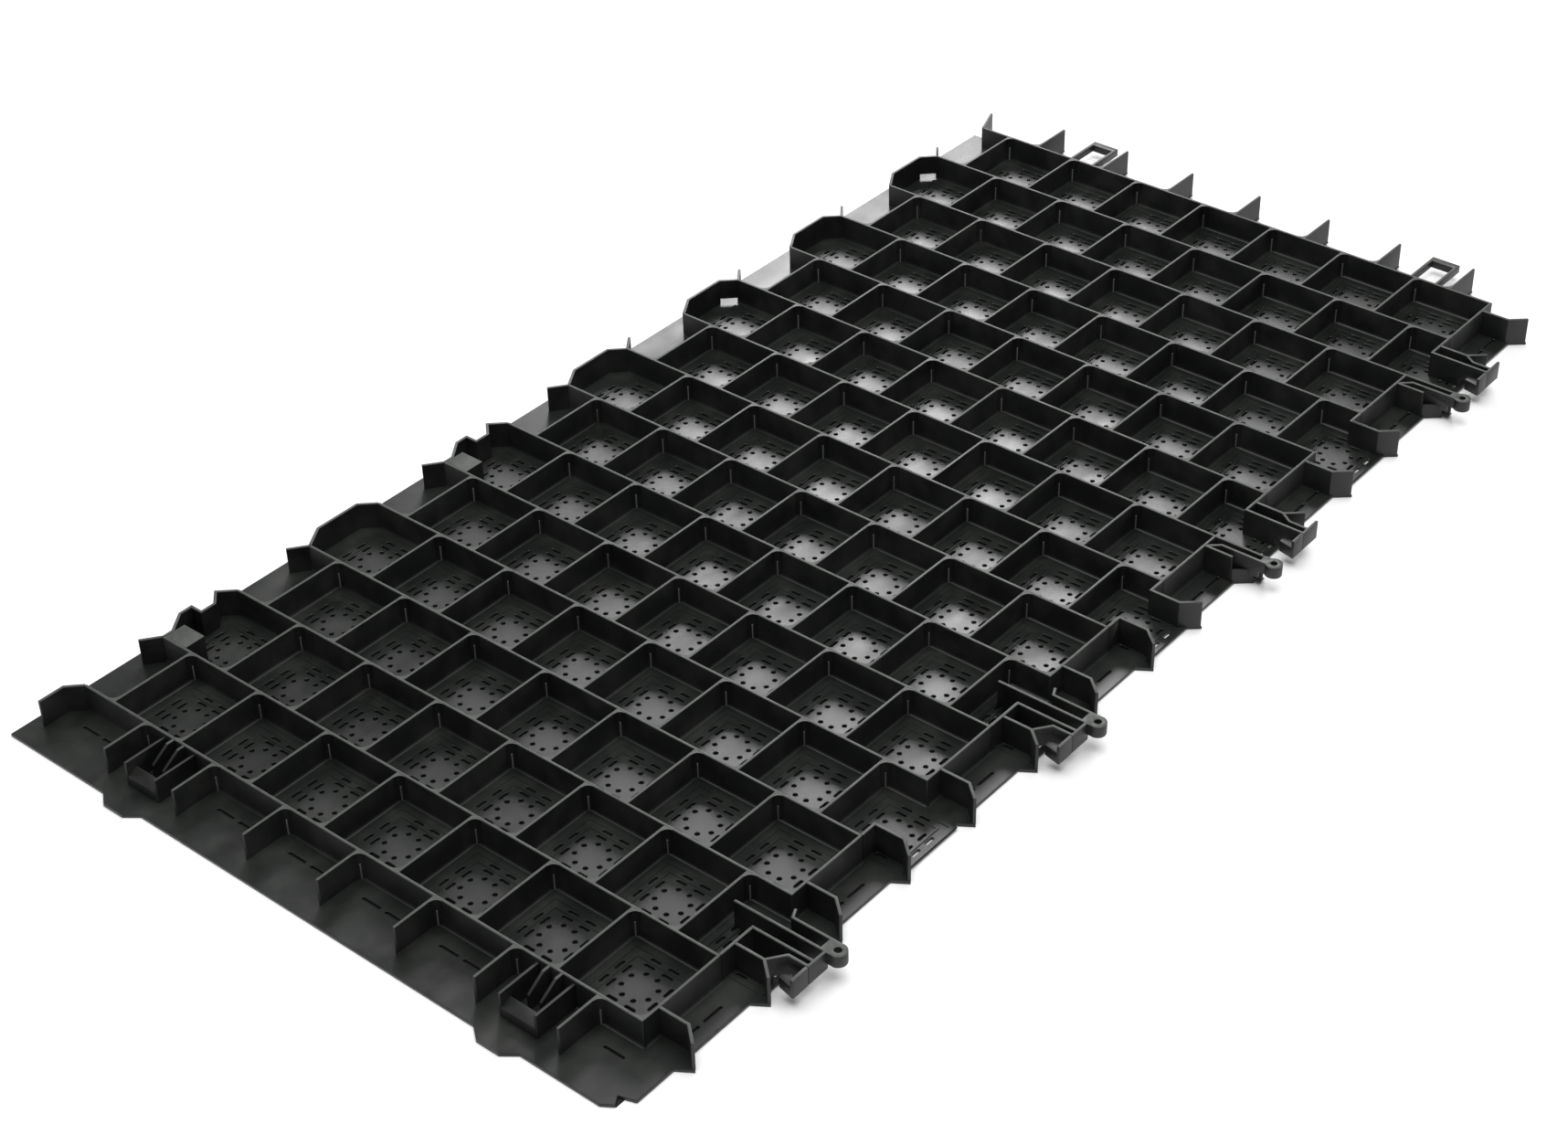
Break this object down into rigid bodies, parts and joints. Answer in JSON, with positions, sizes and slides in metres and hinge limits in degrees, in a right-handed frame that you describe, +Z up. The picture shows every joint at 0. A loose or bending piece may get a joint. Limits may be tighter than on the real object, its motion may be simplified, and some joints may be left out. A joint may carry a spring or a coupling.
{
  "type": "ground reinforcement grid panel",
  "caption": "Low square-cell ground grid panel with staggered rows, a perforated floor, edge pegs and wings, side latches and spring tongues that lock panels together.",
  "frame": {"origin": "middle of the 8 by 16 cell module, on the underside of the floor", "axes": "+Z up out of the ground, +Y along the long direction towards the edge with the spring tongues, +X towards the edge with the side latches"},
  "size_m": [0.5386, 1.0403, 0.0215],
  "materials": {
    "black_plastic": "satin"
  },
  "bodies": {
    "panel": {"floor_section_1": "black_plastic", "floor_section_2": "black_plastic", "floor_section_3": "black_plastic", "floor_section_4": "black_plastic", "transverse_wall_01": "black_plastic", "transverse_wall_02": "black_plastic", "transverse_wall_03": "black_plastic", "transverse_wall_04": "black_plastic", "transverse_wall_05": "black_plastic", "transverse_wall_06": "black_plastic", "transverse_wall_07": "black_plastic", "transverse_wall_08": "black_plastic", "transverse_wall_09": "black_plastic", "transverse_wall_10": "black_plastic", "transverse_wall_11": "black_plastic", "transverse_wall_12": "black_plastic", "transverse_wall_13": "black_plastic", "transverse_wall_14": "black_plastic", "transverse_wall_15": "black_plastic", "transverse_wall_16": "black_plastic", "cross_walls_row_01": "black_plastic", "cross_walls_row_02": "black_plastic", "cross_walls_row_03": "black_plastic", "cross_walls_row_04": "black_plastic", "cross_walls_row_05": "black_plastic", "cross_walls_row_06": "black_plastic", "cross_walls_row_07": "black_plastic", "cross_walls_row_08": "black_plastic", "cross_walls_row_09": "black_plastic", "cross_walls_row_10": "black_plastic", "cross_walls_row_11": "black_plastic", "cross_walls_row_12": "black_plastic", "cross_walls_row_13": "black_plastic", "cross_walls_row_14": "black_plastic", "cross_walls_row_15": "black_plastic", "cell_corner_webs": "black_plastic", "left_loop_row_02": "black_plastic", "left_loop_row_04": "black_plastic", "left_loop_row_06": "black_plastic", "left_loop_row_08": "black_plastic", "left_loop_row_10": "black_plastic", "left_loop_row_12": "black_plastic", "left_loop_row_14": "black_plastic", "left_pegs": "black_plastic", "right_wings": "black_plastic", "latch_seats": "black_plastic", "latch_noses": "black_plastic", "latch_frames_a": "black_plastic", "latch_frames_b": "black_plastic", "snap_receiver_1": "black_plastic", "snap_receiver_2": "black_plastic", "near_edge_fins": "black_plastic", "far_edge_fins": "black_plastic"},
    "finger_02": {"latch_finger_row_02": "black_plastic"},
    "finger_06": {"latch_finger_row_06": "black_plastic"},
    "finger_10": {"latch_finger_row_10": "black_plastic"},
    "finger_14": {"latch_finger_row_14": "black_plastic"},
    "tongue_1": {"snap_tongue_1": "black_plastic"},
    "tongue_2": {"snap_tongue_2": "black_plastic"}
  },
  "joints": [
    {"name": "finger_02_flex", "type": "hinge", "parent": "panel", "child": "finger_02", "pos_m": [0.26225, -0.38365, 0.01475], "axis": [0, 0, 1], "range_deg": [-6, 6], "stiffness_Nm_per_rad": 2.5},
    {"name": "finger_06_flex", "type": "hinge", "parent": "panel", "child": "finger_06", "pos_m": [0.26225, -0.13365, 0.01475], "axis": [0, 0, 1], "range_deg": [-6, 6], "stiffness_Nm_per_rad": 2.5},
    {"name": "finger_10_flex", "type": "hinge", "parent": "panel", "child": "finger_10", "pos_m": [0.26225, 0.13045, 0.01475], "axis": [0, 0, 1], "range_deg": [-6, 6], "stiffness_Nm_per_rad": 2.5},
    {"name": "finger_14_flex", "type": "hinge", "parent": "panel", "child": "finger_14", "pos_m": [0.26225, 0.38045, 0.01475], "axis": [0, 0, 1], "range_deg": [-6, 6], "stiffness_Nm_per_rad": 2.5},
    {"name": "tongue_1_flex", "type": "hinge", "parent": "panel", "child": "tongue_1", "pos_m": [-0.15625, 0.47015, 0.0095], "axis": [1, 0, 0], "range_deg": [-4, 6], "stiffness_Nm_per_rad": 6.7},
    {"name": "tongue_2_flex", "type": "hinge", "parent": "panel", "child": "tongue_2", "pos_m": [0.15625, 0.47015, 0.0095], "axis": [1, 0, 0], "range_deg": [-4, 6], "stiffness_Nm_per_rad": 6.7}
  ]
}
